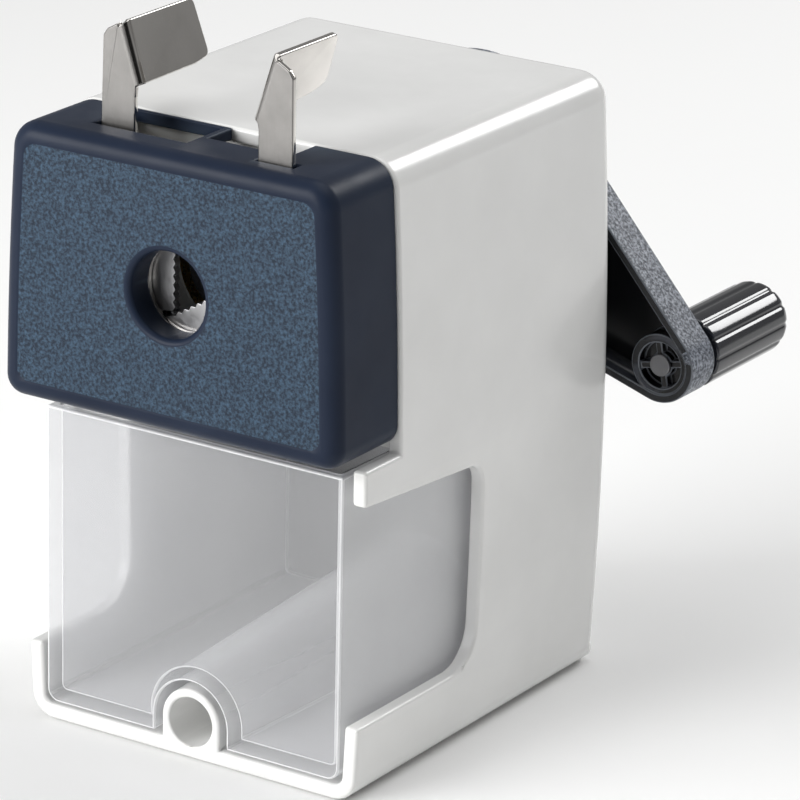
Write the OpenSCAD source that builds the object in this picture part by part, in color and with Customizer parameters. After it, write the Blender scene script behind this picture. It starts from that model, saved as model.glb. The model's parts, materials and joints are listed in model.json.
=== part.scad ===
// Hand-crank desk pencil sharpener with a clear shavings drawer, a spring-back
// front slide with a three-jaw chuck, and one planetary helical cutter.
// X runs to the right seen from the front, Y runs to the back, Z runs up.
// The origin is the middle of the base, on the surface that it stands on.

/* [Housing] */
// Height of the housing
height = 120; // [116:1:124]
// Depth of the housing, front edge to back wall
depth = 86; // [86:1:90]
// Half width at the widest level of the bowed sides
half_width = 38.2; // [38:0.1:39]
// Level at which the sides are widest
widest_z = 54; // [50:1:58]
// Radius of the bowed side walls
side_bow_r = 914; // [850:10:1200]
// Wall thickness
wall = 3; // [2.8:0.1:3.2]
// Thickness of the floor
floor_t = 3.4; // [3:0.1:3.8]
// Radius of the long top edges
top_edge_r = 6; // [5:0.5:7]
// Radius of the long bottom edges
bottom_edge_r = 5; // [4:0.5:5.5]
// Radius of the upright back edges
back_edge_r = 4.5; // [4:0.5:5]

/* [Clamp socket] */
// Height of the socket axis above the base
socket_z = 7.3; // [7:0.1:8]
// Radius of the socket bore
socket_r = 4.86; // [4.5:0.01:5]
// Outer radius of the socket tube at the front
socket_tube_r = 6.5; // [6.3:0.1:6.8]
// Depth of the socket bore
socket_depth = 36; // [30:1:40]

/* [Front slide] */
// Length of the slide block, front to back
slide_depth = 20; // [20:0.5:21]
// Level of the block's lower face
slide_bottom_z = 66.7; // [66:0.1:67]
// Height of the pencil axis
axis_z = 93; // [92.5:0.1:93.5]
// Radius of the pencil hole
pencil_r = 8.2; // [7.5:0.1:8.4]
// Distance of the guide rods from the middle
rod_x = 30.2; // [30:0.1:30.4]

/* [Crank] */
// Distance from the crank axis to the knob axis
crank_throw = 55.7; // [50:0.1:58]
// Angle of the crank below the horizontal
crank_angle = 33.3; // [0:0.1:80]
// Radius of the wide end of the crank
crank_hub_r = 22.5; // [20:0.5:25]
// Radius of the narrow end of the crank
crank_end_r = 7.4; // [7.2:0.1:8]
// Radius of the knob
knob_r = 7.4; // [6.5:0.1:8]
// Length of the knob
knob_len = 29.4; // [24:0.1:32]

/* [Hidden] */
$fn = 64;

eps = 0.01;
far = 200;
front_y = -depth / 2;
back_y = depth / 2;

// The slide block closes the upper front; the housing is stepped back behind it.
slide_front_y = front_y - 8.5;
slide_back_y = slide_front_y + slide_depth;
slide_top_z = height - 0.1;
slide_inset = 0.7;
step_z = slide_bottom_z - 1.6;

// ---------- plain helpers ----------

// Turns a drawing in X and Z, extruded from y0 to y1, into place.
module along_y(y0, y1) {
    translate([0, y1, 0])
        rotate([90, 0, 0])
            linear_extrude(height = y1 - y0)
                children();
}

// Turns a drawing in Y and Z, extruded from x0 to x1, into place.
module along_x(x0, x1) {
    translate([x0, 0, 0])
        rotate([90, 0, 90])
            linear_extrude(height = x1 - x0)
                children();
}

// Cylinder along Y from y0 to y1, on the pencil axis unless moved.
module rod_y(r, y0, y1, x = 0, z = axis_z, fn = 64) {
    translate([x, y1, z])
        rotate([90, 0, 0])
            cylinder(r = r, h = y1 - y0, $fn = fn);
}

// Cone along Y with radius r0 at y0 and r1 at y1.
module cone_y(r0, r1, y0, y1, x, z) {
    translate([x, y0, z])
        rotate([-90, 0, 0])
            cylinder(r1 = r0, r2 = r1, h = y1 - y0);
}

// Tube along Y.
module tube_y(ro, ri, y0, y1, x = 0, z = axis_z) {
    difference() {
        rod_y(ro, y0, y1, x, z);
        rod_y(ri, y0 - 1, y1 + 1, x, z);
    }
}

// Rectangle with true arcs at its corners, from its low to its high corner.
module round_rect(x0, y0, x1, y1, r) {
    translate([x0 + r, y0])
        square([x1 - x0 - 2 * r, y1 - y0]);
    translate([x0, y0 + r])
        square([x1 - x0, y1 - y0 - 2 * r]);
    for (x = [x0 + r, x1 - r], y = [y0 + r, y1 - r])
        translate([x, y])
            circle(r = r);
}

// Middle of a corner arc of radius r that touches the bowed side and level z_edge.
function corner_x(z_mid, r, inset) =
    half_width - side_bow_r + sqrt(pow(side_bow_r - inset - r, 2) - pow(z_mid - widest_z, 2));

// One rounded outer corner, taken off the right half of an outline.
module corner_cut(z_edge, up, r, inset) {
    z_mid = z_edge - up * r;
    x_mid = corner_x(z_mid, r, inset);
    bow_x = half_width - side_bow_r;
    toward = [x_mid - bow_x, z_mid - widest_z] / norm([x_mid - bow_x, z_mid - widest_z]);
    difference() {
        polygon([[x_mid, z_mid], [x_mid, z_edge + up], [x_mid + 3 * r, z_edge + up],
            [x_mid + 3 * r * toward[0], z_mid + 3 * r * toward[1]]]);
        translate([x_mid, z_mid])
            circle(r = r);
    }
}

// Outline of the housing with bowed sides, between two levels.
module bowed_outline(z0, z1, inset, r_low, r_high) {
    difference() {
        intersection() {
            translate([-far / 2, z0])
                square([far, z1 - z0]);
            for_sides()
                translate([half_width - side_bow_r, widest_z])
                    circle(r = side_bow_r - inset, $fn = 360);
        }
        for (side = [0, 1])
            mirror([side, 0]) {
                corner_cut(z1, 1, r_high, inset);
                corner_cut(z0, -1, r_low, inset);
            }
    }
}

// Intersects a right-hand outline with its mirror image.
module for_sides() {
    intersection() {
        children();
        mirror([1, 0])
            children();
    }
}

// ---------- housing and what is fixed in it ----------

shell_light = [0.80, 0.80, 0.79];
step_y = slide_back_y;
window_low_z = 15;
window_back_right = front_y + 39.6;
window_back_left = front_y + 29;
hump_front_y = front_y + 2;
hump_back_y = back_y - 7;
hump_back_r = 11.2;
rear_wall_y = back_y - wall;
rear_bore_r = 6.5;
lug_x = 29.3;
lug_depth = 8;
bulkhead_front_y = step_y + 1.5;
bulkhead_t = 2.5;
bulkhead_back_y = bulkhead_front_y + bulkhead_t;
bulkhead_low_z = 65.2;
lug_z = [69.4, 112.4];
screw_r = 1.25;

// Side window with a sloping top and rounded back corners, drawn in Y and Z.
module window_outline(y_back, r_low, r_high) {
    front_top = 58.2;
    back_top = 55.6;
    polygon([[front_y - 1, window_low_z], [y_back - r_low, window_low_z],
        [y_back, window_low_z + r_low], [y_back, back_top - r_high],
        [y_back - r_high, back_top], [front_y - 1, front_top]]);
    translate([y_back - r_low, window_low_z + r_low])
        circle(r = r_low);
    translate([y_back - r_high, back_top - r_high])
        circle(r = r_high);
}

// Plan and side outlines that round the back edges of the housing.
module housing_envelope() {
    intersection() {
        along_y(front_y, back_y)
            bowed_outline(0, height, 0, bottom_edge_r, top_edge_r);
        linear_extrude(height = height)
            intersection() {
                round_rect(-half_width, front_y - 20, half_width, back_y, back_edge_r);
                translate([-far / 2, front_y])
                    square([far, far]);
            }
        along_x(-far / 2, far / 2)
            round_rect(front_y - 20, -20, back_y, height, top_edge_r);
    }
}

module housing() {
    inner_low_r = bottom_edge_r - 2;
    color(shell_light)
        difference() {
            union() {
                difference() {
                    housing_envelope();
                    along_y(front_y - 1, rear_wall_y)
                        bowed_outline(floor_t, height - wall, wall, inner_low_r, top_edge_r - wall);
                    translate([-far / 2, front_y - 1, step_z])
                        cube([far, step_y - front_y + 1, far]);
                    along_x(half_width - 10, half_width + 10)
                        window_outline(window_back_right, 7.5, 4.5);
                    along_x(-half_width - 10, 10 - half_width)
                        window_outline(window_back_left, 9, 4.5);
                    translate([-far / 2, front_y - 1, step_z - 12])
                        cube([far / 2 - 30, step_y - front_y + 1, 13]);
                }
                socket_hump();
                for (side = [-1, 1], z = lug_z)
                    screw_lug(side, z);
            }
            rod_y(socket_r, front_y - 1, front_y + socket_depth, 0, socket_z);
            rod_y(rear_bore_r, rear_wall_y - 1, back_y + 1);
            for (side = [-1, 1], z = lug_z)
                rod_y(screw_r, bulkhead_back_y - 1, bulkhead_back_y + lug_depth - 1, side * lug_x, z, 24);
        }
}

// Raised channel on the floor that holds the clamp socket tube.
module socket_hump() {
    intersection() {
        union() {
            rod_y(socket_tube_r, front_y, hump_front_y + 1, 0, socket_z);
            translate([-socket_tube_r, front_y, 0])
                cube([2 * socket_tube_r, 4, socket_z]);
            cone_y(socket_tube_r, hump_back_r, hump_front_y, hump_back_y, 0, socket_z);
        }
        translate([-far / 2, front_y, floor_t / 2])
            cube([far, depth - 1, far]);
    }
}

// Block on the inner side wall that takes a bulkhead screw.
module screw_lug(side, z) {
    intersection() {
        along_y(bulkhead_back_y, bulkhead_back_y + lug_depth)
            bowed_outline(0, height - 1, 1, 2, 2);
        translate([side * lug_x - (side > 0 ? 3 : 8), bulkhead_back_y, z - 3])
            cube([11, lug_depth, 6]);
    }
}

bush_out_r = 12.5;
journal_r = 10;
ring_gear_out_r = 24;
rod_r = 2;
sleeve_r = 3.5;
sleeve_back_y = bulkhead_back_y + 4;

module bulkhead() {
    color([0.75, 0.75, 0.74])
        difference() {
            union() {
                along_y(bulkhead_front_y, bulkhead_back_y)
                    intersection() {
                        bowed_outline(0, height - wall - 0.1, wall + 0.1, 1, top_edge_r - wall);
                        translate([-far / 2, bulkhead_low_z])
                            square([far, far]);
                    }
                for (side = [-1, 1])
                    rod_y(sleeve_r, bulkhead_back_y - eps, sleeve_back_y, side * rod_x);
            }
            rod_y(bush_out_r + 0.01, bulkhead_front_y - 1, bulkhead_back_y + 1);
            for (side = [-1, 1]) {
                rod_y(rod_r + 0.08, bulkhead_front_y - 1, sleeve_back_y + 1, side * rod_x);
                for (z = lug_z)
                    rod_y(screw_r + 0.2, bulkhead_front_y - 1, bulkhead_back_y + 1, side * lug_x, z, 24);
            }
        }
}

// Pan-head screw along Y whose head is on the side given by dir.
module screw(x, z, y_seat, length, dir) {
    head_t = 1.4;
    rod_y(screw_r - 0.02, min(y_seat, y_seat + dir * length), max(y_seat, y_seat + dir * length), x, z, 24);
    difference() {
        rod_y(2.3, min(y_seat, y_seat - dir * head_t), max(y_seat, y_seat - dir * head_t), x, z, 32);
        translate([x - 0.3, y_seat - dir * head_t - 0.5, z - 3])
            cube([0.6, 1, 6]);
    }
}

module bulkhead_screws() {
    color("silver")
        for (side = [-1, 1], z = lug_z)
            screw(side * lug_x, z, bulkhead_front_y, bulkhead_t + 5, 1);
}

module front_bush() {
    color("goldenrod")
        tube_y(bush_out_r, journal_r + 0.06, bulkhead_front_y, bulkhead_back_y + 0.4);
}

// Gear mesh of the planetary cutter, module 1.
ring_teeth = 40;
pinion_teeth = 12;
ring_pitch_r = ring_teeth / 2;
pinion_pitch_r = pinion_teeth / 2;
cutter_offset = ring_pitch_r - pinion_pitch_r;
mesh_y = bulkhead_back_y + 5.2;
ring_back_y = bulkhead_back_y + 7;

// Star of trapezoid teeth between a root and a tip radius.
module tooth_ring(count, root_r, tip_r, root_share, tip_share, turn) {
    step = 360 / count;
    polygon([for (i = [0:count - 1], p = [[root_r, -root_share], [tip_r, -tip_share],
            [tip_r, tip_share], [root_r, root_share]])
        p[0] * [cos(turn + (i + p[1]) * step), sin(turn + (i + p[1]) * step)]]);
}

module ring_gear() {
    color("silver")
        difference() {
            rod_y(ring_gear_out_r, bulkhead_back_y + 0.05, ring_back_y);
            rod_y(18.9, bulkhead_back_y - 1, ring_back_y - 4);
            translate([0, 0, axis_z])
                along_y(ring_back_y - 4.5, ring_back_y + 1)
                    tooth_ring(ring_teeth, 19, 21.6, 0.36, 0.2, 0);
        }
}

bush_flange_y = back_y + 1;

module rear_bush() {
    color("goldenrod")
        difference() {
            union() {
                rod_y(rear_bore_r - 0.01, rear_wall_y - 1.2, back_y + eps);
                rod_y(8.6, back_y + 0.01, bush_flange_y);
            }
            rod_y(shaft_r + 0.06, rear_wall_y - 2, bush_flange_y + 1);
        }
}

// ---------- clear shavings drawer ----------

drawer_half = 33.2;
drawer_wall = 1.8;
drawer_low_z = floor_t + 0.3;
drawer_top_z = 63;
drawer_back_y = back_y - wall - 4;
drawer_corner_r = 2.6;
tunnel_front_r = 9.9;
tunnel_back_r = 13.6;

// Tapered channel over the socket hump: a cone with a wedge down to the floor.
module tunnel_form(r_front, r_back, y0, y1) {
    cone_y(r_front, r_back, y0, y1, 0, socket_z);
    translate([0, 0, -1])
        linear_extrude(height = socket_z + 1)
            polygon([[-r_front, y0], [r_front, y0], [r_back, y1], [-r_back, y1]]);
}

module drawer() {
    inner = drawer_half - drawer_wall;
    color([0.85, 0.92, 0.95, 0.35])
        difference() {
            along_y(front_y, drawer_back_y)
                round_rect(-drawer_half, drawer_low_z, drawer_half, drawer_top_z + 10, drawer_corner_r);
            translate([-far / 2, front_y - 1, drawer_top_z])
                cube([far, depth, 20]);
            difference() {
                along_y(front_y + 2, drawer_back_y - drawer_wall)
                    round_rect(-inner, drawer_low_z + drawer_wall, inner, drawer_top_z + 10, 1.4);
                tunnel_form(tunnel_front_r, tunnel_back_r, front_y, drawer_back_y);
            }
            tunnel_form(tunnel_front_r - drawer_wall, tunnel_back_r - drawer_wall,
                front_y - 0.5, drawer_back_y + 0.5);
        }
}

// ---------- front slide block ----------

slide_wall = 2.4;
slide_face_t = 3;
face_back_y = slide_front_y + slide_face_t;
face_edge_r = 3.2;
plate_front_y = slide_front_y + 6.4;
plate_back_y = plate_front_y + 1.2;
jaw_back_y = plate_back_y + 1.8;
ring_front_y = jaw_back_y + 0.1;
ring_back_chuck_y = ring_front_y + 1.2;
cover_front_y = ring_back_chuck_y + 0.1;
cover_back_y = cover_front_y + 1.4;
chuck_screw_x = 25.2;
chuck_screw_dz = 7.5;
rod_boss_r = 3.8;
rod_front_y = slide_front_y + 4;
rod_boss_back_y = slide_back_y - 4;
lever_in_x = [13.9, 15.3];
lever_out_x = [21.05, 22.8];
slot_gap = 0.5;
wide_slot_end_x = -1;
wide_slot_len = 11.4;
notch_front_y = slide_back_y - 7.9;
notch_end_x = 18.4;

// Repeats its child at the four chuck screws.
module at_chuck_screws() {
    for (side = [-1, 1], dz = [-chuck_screw_dz, chuck_screw_dz])
        translate([side * chuck_screw_x, 0, dz])
            children();
}

// Outer form of the slide block with rounded front edges.
module slide_form() {
    edge_x = half_width - slide_inset;
    intersection() {
        along_y(slide_front_y, slide_back_y)
            bowed_outline(slide_bottom_z, slide_top_z, slide_inset, 4, 5.5);
        linear_extrude(height = height)
            round_rect(-edge_x, slide_front_y, edge_x, slide_back_y + 10, face_edge_r);
        along_x(-far / 2, far / 2)
            round_rect(slide_front_y, slide_bottom_z, slide_back_y + 10, slide_top_z, face_edge_r);
    }
}

module faceplate() {
    slot_y = plate_front_y - slot_gap;
    color([0.17, 0.22, 0.30])
        difference() {
            union() {
                difference() {
                    slide_form();
                    along_y(face_back_y, slide_back_y + 1)
                        bowed_outline(slide_bottom_z + slide_wall, slide_top_z - slide_wall,
                            slide_inset + slide_wall, 2, 3);
                }
                rod_y(pencil_r + 2, face_back_y - 1, plate_front_y - 0.1);
                at_chuck_screws()
                    rod_y(2.8, face_back_y - 1, plate_front_y, fn = 32);
                for (side = [-1, 1])
                    rod_y(rod_boss_r, face_back_y - 1, rod_boss_back_y, side * rod_x);
            }
            rod_y(pencil_r, slide_front_y - 1, plate_front_y + 1);
            cone_y(pencil_r + 1.2, pencil_r, slide_front_y - eps, slide_front_y + 1.2, 0, axis_z);
            at_chuck_screws()
                rod_y(screw_r, face_back_y - 1, plate_front_y + 1, fn = 24);
            for (side = [-1, 1])
                rod_y(rod_r + 0.01, rod_front_y, rod_boss_back_y + 1, side * rod_x);
            translate([-lever_out_x[0] - slot_gap, ring_front_y - slot_gap - 1.6, slide_top_z - 6])
                cube([lever_out_x[0] + slot_gap + wide_slot_end_x, wide_slot_len, 10]);
            translate([wide_slot_end_x + 1.4, notch_front_y, slide_top_z - 6])
                cube([notch_end_x - wide_slot_end_x - 1.4, 30, 10]);
            translate([lever_in_x[1] - slot_gap, slot_y, slide_top_z - 6])
                cube([lever_out_x[1] - lever_in_x[1] + 2 * slot_gap, 2.2, 10]);
        }
}

// ---------- three-jaw chuck with its two finger levers ----------

pivot_r = 14;
pivot_angle = 110;
pin_r = 1.25;
peg_at = 15;
peg_angle = 190;
peg_r = 1.2;
ring_outer_r = 22;
ring_bore_r = 9.6;
plate_disc_r = 17.5;
chuck_hole_r = 8.5;
jaw_turn = 14;
pad_t = 1.2;
pad_low = [[12.3, 127.9], [13.7, 127]];
pad_lean = [17.8, 18];
pad_high = [12.1, 13.2];
pad_len = [21.6, 20.9];
spring_z = -19.8;
spring_moving_x = -2.8;
spring_fixed_x = 14.5;

// Point on the fold line of a lever, at distance v up from its low end; i is 0 left, 1 right.
function fold_at(i, v) = pad_low[i] + v * [sin(pad_lean[i]), cos(pad_lean[i])];

// Finger lever in the X Z plane, in absolute levels; i is 0 for the left one, 1 for the right.
module lever_outline(i) {
    side = 2 * i - 1;
    out_x = lever_out_x[i];
    in_x = lever_in_x[i];
    corner_z = 136 - 0.2 * i;
    polygon([for (p = [[8, axis_z + 10], [14, axis_z + 5], [19.6, axis_z + 9.5], [out_x, axis_z + 15],
            [out_x - 0.1, corner_z], [out_x - 1.2, corner_z + 1.3], [pad_low[i][0] + 5.3, 138.6],
            fold_at(i, pad_high[i] - 0.6), fold_at(i, 0.6), [in_x - 0.5, 127.2], [in_x, 125.6],
            [in_x, axis_z + 16]])
        [side * p[0], p[1]]]);
}

// Finger pad: a plate along Y at the lever's inner edge, seen from the side.
module finger_pad(i, y0) {
    side = 2 * i - 1;
    high = pad_high[i];
    len = pad_len[i];
    translate([side * pad_low[i][0], y0, pad_low[i][1]])
        rotate([0, side * pad_lean[i], 0])
            along_x(min(0, side * pad_t), max(0, side * pad_t))
                polygon([[0, 0.5], [1.5, 0.1], [len - 4.5, 0.3 + 1.6 * i], [len - 1.3, 0.7 + 2 * i],
                    [len, 1.8 + 2.6 * i], [len - 0.7, high - 1.3], [len - 1.9, high], [1, high],
                    [0, high - 0.8]]);
}

module disc_lugs(y0, y1) {
    at_chuck_screws()
        rod_y(2.8, y0, y1, fn = 32);
    translate([0, 0, axis_z])
        along_y(y0, y1)
            for (dz = [-1, 1])
                translate([-chuck_screw_x, dz * chuck_screw_dz - 2.2])
                    square([2 * chuck_screw_x, 4.4]);
}

module jaw_plate() {
    color([0.72, 0.70, 0.68])
        difference() {
            union() {
                rod_y(plate_disc_r, plate_front_y, plate_back_y);
                disc_lugs(plate_front_y, plate_back_y);
                along_y(plate_front_y, plate_back_y)
                    lever_outline(1);
                finger_pad(1, plate_front_y);
            }
            rod_y(chuck_hole_r, plate_front_y - 1, plate_back_y + 1);
            at_chuck_screws()
                rod_y(screw_r + 0.1, plate_front_y - 1, plate_back_y + 1, fn = 24);
            for (k = [0:2])
                rod_y(pin_r + 0.01, plate_front_y - 1, plate_back_y + 1,
                    pivot_r * cos(pivot_angle + k * 120), axis_z + pivot_r * sin(pivot_angle + k * 120), 32);
        }
}

// Slot along an arc of radius r, from angle a0 to a1, with round ends.
module arc_slot(r, half_w, a0, a1) {
    intersection() {
        difference() {
            circle(r = r + half_w);
            circle(r = r - half_w);
        }
        polygon([[0, 0], [40 * cos(a0), 40 * sin(a0)], [40 * cos(a1), 40 * sin(a1)]]);
    }
    for (a = [a0, a1])
        translate([r * cos(a), r * sin(a)])
            circle(r = half_w, $fn = 32);
}

module jaw_ring() {
    color([0.72, 0.70, 0.68]) {
        difference() {
            union() {
                rod_y(ring_outer_r, ring_front_y, ring_back_chuck_y);
                along_y(ring_front_y, ring_back_chuck_y)
                    lever_outline(0);
                finger_pad(0, ring_front_y);
            }
            rod_y(ring_bore_r, ring_front_y - 1, ring_back_chuck_y + 1);
            translate([0, 0, axis_z])
                along_y(ring_front_y - 1, ring_back_chuck_y + 1)
                    for (k = [0:2]) {
                        arc_slot(pivot_r, pin_r + 0.3, pivot_angle + k * 120 - 1.5,
                            pivot_angle + k * 120 + jaw_turn + 1.5);
                        rotate(peg_angle + k * 120) {
                            translate([13.8, -peg_r - 0.25])
                                square([5.9, 2 * peg_r + 0.5]);
                            for (x = [13.8, 19.7])
                                translate([x, 0])
                                    circle(r = peg_r + 0.25, $fn = 32);
                        }
                    }
        }
        rod_y(1, ring_back_chuck_y - eps, cover_back_y + 3, spring_moving_x, axis_z + spring_z, 32);
    }
}

// Jaw for the left side: a toothed inner edge, a pivot boss and a driving peg.
module jaw(turn) {
    pivot = pivot_r * [cos(pivot_angle), sin(pivot_angle)];
    peg = peg_at * [cos(peg_angle), sin(peg_angle)];
    teeth = 14;
    edge_x = -3.9;
    edge_top = 6;
    edge_low = -5.6;
    step = (edge_top - edge_low) / teeth;
    color([0.25, 0.26, 0.27])
        translate([0, 0, axis_z])
            rotate([0, -turn, 0]) {
                difference() {
                    along_y(plate_back_y + 0.1, jaw_back_y) {
                        polygon(concat([[-2.2, 11.5]],
                            [for (i = [0:teeth]) [edge_x + (i % 2) * 0.55, edge_top - i * step]],
                            [[-8, -6.2], [-15.6, -4.8], [-17, -2.6], [-15.5, 3],
                                [-7.9, 13.6], [-4.8, 13.2]]));
                        translate(pivot)
                            circle(r = 3.2);
                    }
                    rod_y(pin_r + 0.05, plate_back_y, jaw_back_y + 1, pivot[0], pivot[1], 32);
                }
                rod_y(peg_r, jaw_back_y - eps, ring_back_chuck_y - 0.1, peg[0], peg[1], 32);
            }
}

module jaw_left() {
    jaw(0);
}

module jaw_lower() {
    jaw(120);
}

module jaw_upper() {
    jaw(240);
}

module jaw_pins() {
    color("silver")
        for (k = [0:2])
            rod_y(pin_r, plate_front_y + 0.02, cover_back_y, pivot_r * cos(pivot_angle + k * 120),
                axis_z + pivot_r * sin(pivot_angle + k * 120), 32);
}

module chuck_cover() {
    color([0.62, 0.61, 0.60])
        difference() {
            union() {
                rod_y(plate_disc_r, cover_front_y, cover_back_y);
                rod_y(ring_bore_r - 0.06, ring_front_y, cover_front_y + eps);
                disc_lugs(cover_front_y, cover_back_y);
                translate([spring_fixed_x - 2.5, cover_front_y, axis_z + spring_z - 2])
                    cube([5, cover_back_y - cover_front_y, 14]);
                rod_y(1, cover_back_y - eps, cover_back_y + 3, spring_fixed_x, axis_z + spring_z, 32);
            }
            rod_y(chuck_hole_r, ring_front_y - 1, cover_back_y + 1);
            at_chuck_screws()
                rod_y(screw_r + 0.1, cover_front_y - 1, cover_back_y + 1, fn = 24);
            for (k = [0:2])
                rod_y(pin_r + 0.01, cover_front_y - 1, cover_back_y + 1,
                    pivot_r * cos(pivot_angle + k * 120), axis_z + pivot_r * sin(pivot_angle + k * 120), 32);
        }
}

module chuck_spacers() {
    color("silver")
        at_chuck_screws()
            tube_y(2.2, screw_r + 0.1, plate_back_y, cover_front_y);
}

module chuck_screws() {
    color("silver")
        for (side = [-1, 1], dz = [-chuck_screw_dz, chuck_screw_dz])
            screw(side * chuck_screw_x, axis_z + dz, cover_back_y, 7.6, -1);
}

// ---------- springs, guide rods and clips ----------

// Round-wire coil along Y with its closed ends, as one swept surface.
module coil_y(mean_r, wire_r, y0, y1, turns) {
    around = 12;
    sides = 6;
    steps = turns * around;
    function centre(i) = [mean_r * cos(360 * i / around), y0 + wire_r + (y1 - y0 - 2 * wire_r) * i / steps,
        mean_r * sin(360 * i / around)];
    rings = [for (i = [0:steps], s = [0:sides - 1])
        let (a = 360 * i / around, b = 360 * s / sides)
        centre(i) + wire_r * [cos(a) * cos(b), sin(b), sin(a) * cos(b)]];
    walls = [for (i = [0:steps - 1], s = [0:sides - 1], half = [0, 1])
        let (n = (s + 1) % sides, low = i * sides, high = low + sides)
        half == 0 ? [low + s, high + s, high + n] : [low + s, high + n, low + n]];
    low_cap = [[for (s = [0:sides - 1]) s]];
    high_cap = [[for (s = [sides - 1:-1:0]) steps * sides + s]];
    polyhedron(points = rings, faces = concat(walls, low_cap, high_cap));
}

clip_y = back_y - 16;
rod_back_y = clip_y + 3;

module slide_spring(side) {
    color("lightgray")
        translate([side * rod_x, 0, axis_z])
            coil_y(2.8, 0.45, sleeve_back_y + 0.05, clip_y - 0.05, 12);
}

module slide_spring_left() {
    slide_spring(-1);
}

module slide_spring_right() {
    slide_spring(1);
}

module ring_spring() {
    color("lightgray")
        translate([0, cover_back_y + 1.9, axis_z + spring_z])
            rotate([0, 0, -90])
                coil_y(1.3, 0.3, spring_moving_x + 1.05, spring_fixed_x - 1.05, 12);
}

module guide_rod(side) {
    color("silver")
        difference() {
            rod_y(rod_r, rod_front_y + 0.05, rod_back_y, side * rod_x);
            tube_y(rod_r + 1, rod_r - 0.5, clip_y, clip_y + 0.8, side * rod_x);
        }
}

module guide_rod_left() {
    guide_rod(-1);
}

module guide_rod_right() {
    guide_rod(1);
}

module rod_clips() {
    color([0.3, 0.3, 0.32])
        for (side = [-1, 1])
            difference() {
                tube_y(3.3, rod_r - 0.5, clip_y, clip_y + 0.8, side * rod_x);
                translate([side * rod_x - 0.8, clip_y - 1, axis_z - 5])
                    cube([1.6, 3, 5]);
            }
}

// ---------- planetary cutter and its carrier ----------

cutter_tilt = 11;
axle_r = 1.5;
drum_r = 6.3;
drum_start = 2;
drum_len = 30;
disc_front_y = bulkhead_back_y + 0.5;
disc_back_y = disc_front_y + 2.4;
disc_r = 18.4;
carrier_body_r = 12;
arm_front_y = 12;
arm_back_y = 17;
hub_back_y = 22;
hub_r = 7;
shaft_r = 4;
shaft_front_y = 14;

// Places its child on the tilted cutter axis: Z runs along it to the back.
module on_cutter_axis() {
    translate([0, mesh_y, axis_z - cutter_offset])
        rotate([-90 + cutter_tilt, 0, 0])
            children();
}

module cutter_carrier() {
    color([0.66, 0.66, 0.68])
        difference() {
            union() {
                rod_y(journal_r, bulkhead_front_y - 0.6, disc_front_y + eps);
                rod_y(disc_r, disc_front_y, disc_back_y);
                rod_y(carrier_body_r, disc_back_y - eps, arm_front_y + eps);
                rod_y(carrier_body_r + 1, arm_front_y, arm_back_y);
                rod_y(hub_r, arm_back_y - eps, hub_back_y);
            }
            rod_y(6.6, bulkhead_front_y - 2, disc_back_y);
            cone_y(6.6, 1, disc_back_y - eps, arm_front_y - 1, 0, axis_z);
            rod_y(shaft_r + 0.01, shaft_front_y - 0.2, hub_back_y + 1);
            on_cutter_axis() {
                translate([0, 0, -1.9])
                    cylinder(r = drum_r + 1.1, h = 35.4);
                translate([0, 0, -6])
                    cylinder(r = axle_r + 0.01, h = 50, $fn = 32);
            }
        }
}

module cutter_axle() {
    color("silver")
        on_cutter_axis()
            translate([0, 0, -4.6])
                cylinder(r = axle_r, h = 44.4, $fn = 32);
}

// Helical blades round a plain core with a running bore.
module cutter_drum() {
    blades = 12;
    color([0.35, 0.36, 0.38])
        on_cutter_axis()
            translate([0, 0, drum_start])
                difference() {
                    linear_extrude(height = drum_len, twist = 120, slices = 12)
                        tooth_ring(blades, drum_r - 1.1, drum_r, 0.42, 0.12, 0);
                    translate([0, 0, -1])
                        cylinder(r = axle_r + 0.06, h = drum_len + 2, $fn = 32);
                }
}

module cutter_pinion() {
    color([0.45, 0.46, 0.48])
        on_cutter_axis()
            difference() {
                union() {
                    translate([0, 0, -1.4])
                        linear_extrude(height = 2.8)
                            mirror([0, 1])
                                tooth_ring(pinion_teeth, 4.9, 6.8, 0.243, 0.098, 0);
                    translate([0, 0, 1.4 - eps])
                        cylinder(r = 4, h = drum_start - 1.4 + eps);
                }
                translate([0, 0, -3])
                    cylinder(r = axle_r + 0.06, h = 6, $fn = 32);
            }
}

// ---------- crank and knob ----------

arm_y0 = back_y + 2.5;
arm_y1 = arm_y0 + 8.6;
arm_floor_t = 2.2;
arm_rim_t = 1.6;
shaft_back_y = arm_y1 - 2;
pin_shank_r = 1.5;
collar_y = arm_y1 + 1.4;
knob_y0 = collar_y + 0.15;
knob_y1 = knob_y0 + knob_len;
pocket_y0 = knob_y1 - 9;
pocket_y1 = pocket_y0 + 3.2;

// Places its child at the crank, with local X along the arm.
module on_crank() {
    translate([0, 0, axis_z])
        rotate([0, crank_angle, 0])
            children();
}

// Teardrop outline between the two ends of the arm, with straight tangents.
module arm_outline(inset) {
    big = crank_hub_r - inset;
    small = crank_end_r - inset;
    open = acos((big - small) / crank_throw);
    circle(r = big);
    translate([crank_throw, 0])
        circle(r = small);
    polygon([big * [cos(open), sin(open)], [crank_throw + small * cos(open), small * sin(open)],
        [crank_throw + small * cos(open), -small * sin(open)], big * [cos(open), -sin(open)]]);
}

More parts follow.
